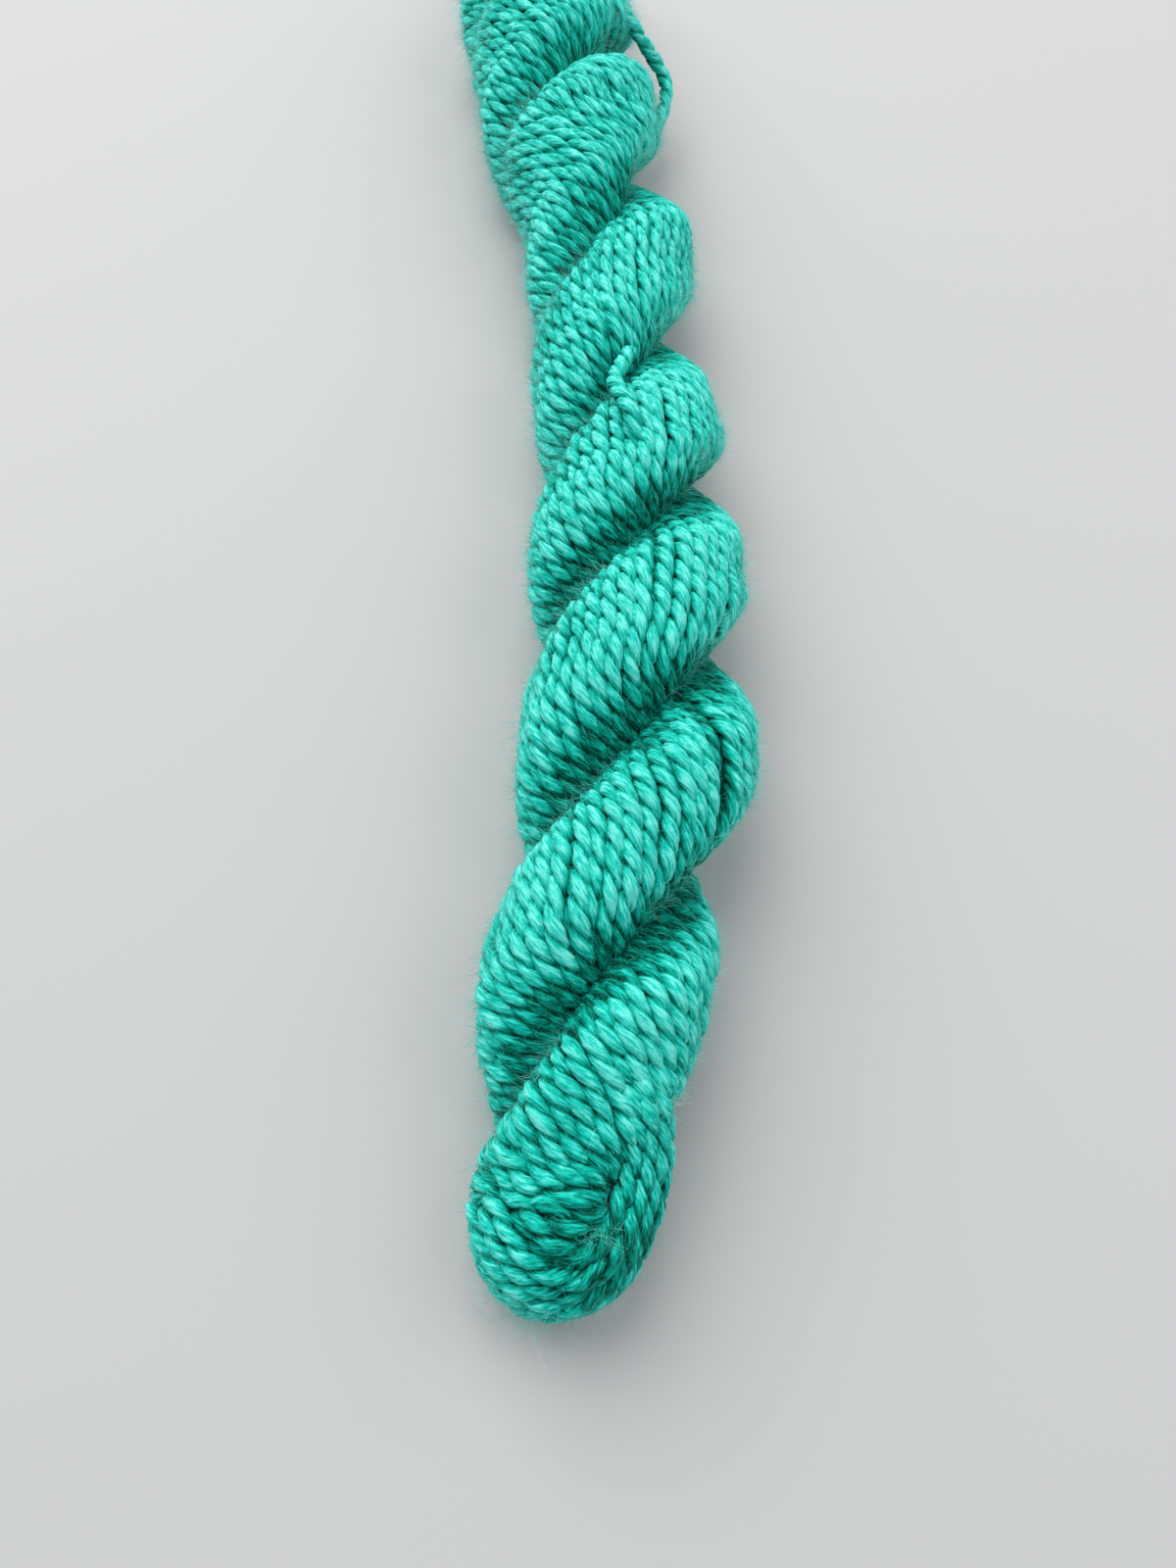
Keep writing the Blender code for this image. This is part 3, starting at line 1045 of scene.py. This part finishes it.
def mottle_group():
    """A node group that mixes a dark and a light colour in small soft spots."""
    group = bpy.data.node_groups.new("mottle", "ShaderNodeTree")
    group.interface.new_socket("Place", in_out="INPUT", socket_type="NodeSocketVector")
    group.interface.new_socket("Dark", in_out="INPUT", socket_type="NodeSocketColor")
    group.interface.new_socket("Light", in_out="INPUT", socket_type="NodeSocketColor")
    group.interface.new_socket("Color", in_out="OUTPUT", socket_type="NodeSocketColor")
    given = add_node(group, "NodeGroupInput").outputs
    noise = add_node(group, "ShaderNodeTexNoise", {
        "Vector": given["Place"], "Scale": SPOTS_PER_METRE,
    }).outputs["Fac"]
    share = add_node(group, "ShaderNodeMapRange", {
        "Value": noise, "From Min": SPOT_EDGES[0], "From Max": SPOT_EDGES[1],
    }).outputs[0]
    colours = {MIX_SHARE: share, MIX_FIRST: given["Dark"], MIX_SECOND: given["Light"]}
    mixed = add_node(group, "ShaderNodeMix", colours, data_type="RGBA").outputs[MIX_RESULT]
    add_node(group, "NodeGroupOutput", {"Color": mixed})
    return group


mottle = mottle_group()
print("mottle:", len(mottle.nodes), "nodes")


# %% The finishes of fibres and inner yarn
def fibre_finish(name, dark, light):
    """A mottle of two greens with hardly any gloss."""
    finish, tree, shader = new_finish(
        name, Roughness=0.6, Specular_IOR_Level=0.05, Specular_Tint=GREEN_GLOSS
    )
    place = add_node(tree, "ShaderNodeTexCoord").outputs["Object"]
    given = {"Place": place, "Dark": (*dark, 1), "Light": (*light, 1)}
    mottled = add_node(tree, "ShaderNodeGroup", given, node_tree=mottle)
    tree.links.new(mottled.outputs["Color"], shader.inputs["Base Color"])
    return finish


lying_fibre = fibre_finish("lying_fibre", (0.012, 0.52, 0.42), (0.10, 0.78, 0.70))
edge_fibre = fibre_finish("edge_fibre", (0.09, 0.64, 0.54), (0.36, 0.88, 0.81))
inner_finish = new_finish(
    "inner_yarn", Base_Color=(0.0006, 0.09, 0.06, 1), Roughness=0.9, Specular_IOR_Level=0.1
)[0]
finishes = (yarn_finish, lying_fibre, edge_fibre, inner_finish)
print("finishes:", [finish.name for finish in finishes])

# %% [markdown]
# ## On the frame
# Each piece wears its finish and rides on the hank's one body. The plain solid is then
# hidden.

# %% Finishes and bodies
LYING = ("fuzz_soft", "fuzz_haze_1", "fuzz_groove")      # starts of the names of fibres that lie

for piece in (*yarn_pieces, stray, core, *fibres):
    piece.data.materials.clear()
    finish = inner_finish if piece == core else yarn_finish
    if piece in fibres:
        finish = lying_fibre if piece.name.startswith(LYING) else edge_fibre
    piece.data.materials.append(finish)
    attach(piece, "root")
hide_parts("hank")
bpy.data.objects.remove(ply_section)
print("pieces:", len(yarn_pieces) + 2 + len(fibres))

# %% [markdown]
# ## Floor and light
# The hank lies in soft daylight. A plain pale floor, a wide soft light from the far left,
# a weak one from the right and an even sky give the same gentle shade.

# %% The floor
FLOOR_SIDE = 4.0                             # metres

bpy.ops.object.select_all(action="DESELECT")
bpy.ops.mesh.primitive_plane_add(size=FLOOR_SIDE, location=(0, 0, 0))
floor = bpy.context.active_object
floor.name = "floor"
floor_finish = new_finish("pale_floor", Base_Color=(0.475, 0.47, 0.46, 1), Roughness=0.7)[0]
floor.data.materials.append(floor_finish)


# %% The lights
def soft_light(name, place, size, power):
    """A round lamp that faces the hank; place and size in metres, power in watts."""
    data = bpy.data.lights.new(name, "AREA")
    data.shape = "DISK"
    data.size = size
    data.energy = power
    lamp = bpy.data.objects.new(name, data)
    lamp.location = place
    lamp.rotation_euler = (-Vector(place)).to_track_quat("-Z", "Y").to_euler()
    bpy.context.scene.collection.objects.link(lamp)


soft_light("window_light", (-0.55, 0.72, 1.04), 1.7, 24.0)
soft_light("room_light", (0.60, 0.15, 0.70), 0.8, 2.5)
print("lights:", len(bpy.data.lights))

# %% The sky
SKY_COLOUR = (0.92, 0.96, 1.0, 1)
SKY_STRENGTH = 0.56

world = bpy.data.worlds.new("studio")
bpy.context.scene.world = world
world.use_nodes = True
sky = world.node_tree.nodes["Background"].inputs
sky["Color"].default_value = SKY_COLOUR
sky["Strength"].default_value = SKY_STRENGTH
bpy.context.scene.view_settings.view_transform = "Standard"
